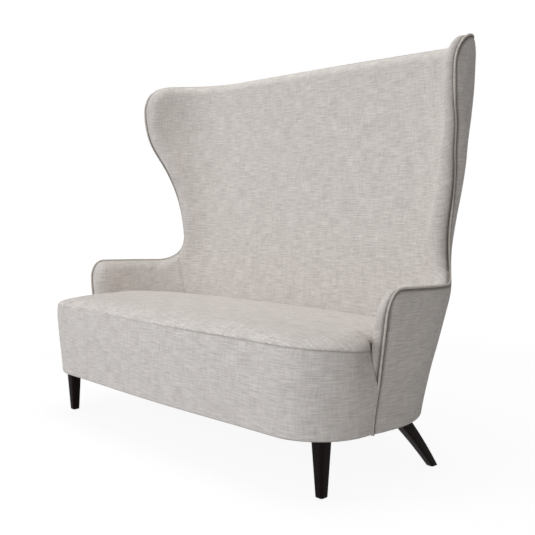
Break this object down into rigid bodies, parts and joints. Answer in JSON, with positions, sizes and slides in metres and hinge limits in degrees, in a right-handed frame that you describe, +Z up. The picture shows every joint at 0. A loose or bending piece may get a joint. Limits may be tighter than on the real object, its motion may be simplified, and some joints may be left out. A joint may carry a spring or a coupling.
{
  "type": "high back settee",
  "caption": "High back winged settee: a wrap-around padded tub shell with piped edge, low arms, tight bowed seat and dark tapered legs.",
  "frame": {"origin": "on the floor, below the middle of the outside box", "axes": "+X to the right of a person facing the settee's front, +Y from the front to the back, +Z up"},
  "size_m": [1.5894, 0.8282, 1.3119],
  "materials": {
    "cover_cloth": "pale oatmeal linen weave, matt",
    "leg_wood": "dark espresso stain, satin",
    "timber": "unfinished frame timber and plywood",
    "webbing": "woven jute webbing",
    "foam": "upholstery foam",
    "underside_cloth": "black spunbonded cloth",
    "steel": "zinc plated"
  },
  "bodies": {
    "root": {"front_rail": "timber", "front_corner_left": "timber", "front_corner_right": "timber", "side_rail_left": "timber", "side_rail_right": "timber", "rear_rail": "timber", "cross_rail": "timber", "leg_block_front_left": "timber", "leg_block_front_right": "timber", "leg_block_rear_left": "timber", "leg_block_rear_right": "timber", "leg_front_left": "leg_wood", "leg_front_right": "leg_wood", "leg_rear_left": "leg_wood", "leg_rear_right": "leg_wood", "leg_bolt_front_left": "steel", "leg_bolt_front_right": "steel", "leg_bolt_rear_left": "steel", "leg_bolt_rear_right": "steel", "glide_front_left": "steel", "glide_front_right": "steel", "glide_rear_left": "steel", "glide_rear_right": "steel", "dust_cover": "underside_cloth", "edge_former_left": "timber", "edge_former_right": "timber", "top_rail": "timber", "back_post_left": "timber", "back_post_middle": "timber", "back_post_right": "timber", "stay_rail_left": "timber", "stay_rail_right": "timber", "tack_rail_left": "timber", "tack_rail_right": "timber", "wing_stay_left": "timber", "wing_stay_right": "timber", "back_webbing": "webbing", "seat_webbing_long": "webbing", "seat_webbing_cross": "webbing", "seat_foam": "foam", "seat_top": "cover_cloth", "seat_border": "cover_cloth", "inside_back": "cover_cloth", "inside_arm_left": "cover_cloth", "inside_arm_right": "cover_cloth", "outside_back": "cover_cloth", "outside_side_left": "cover_cloth", "outside_side_right": "cover_cloth", "piping": "cover_cloth"}
  },
  "joints": []
}
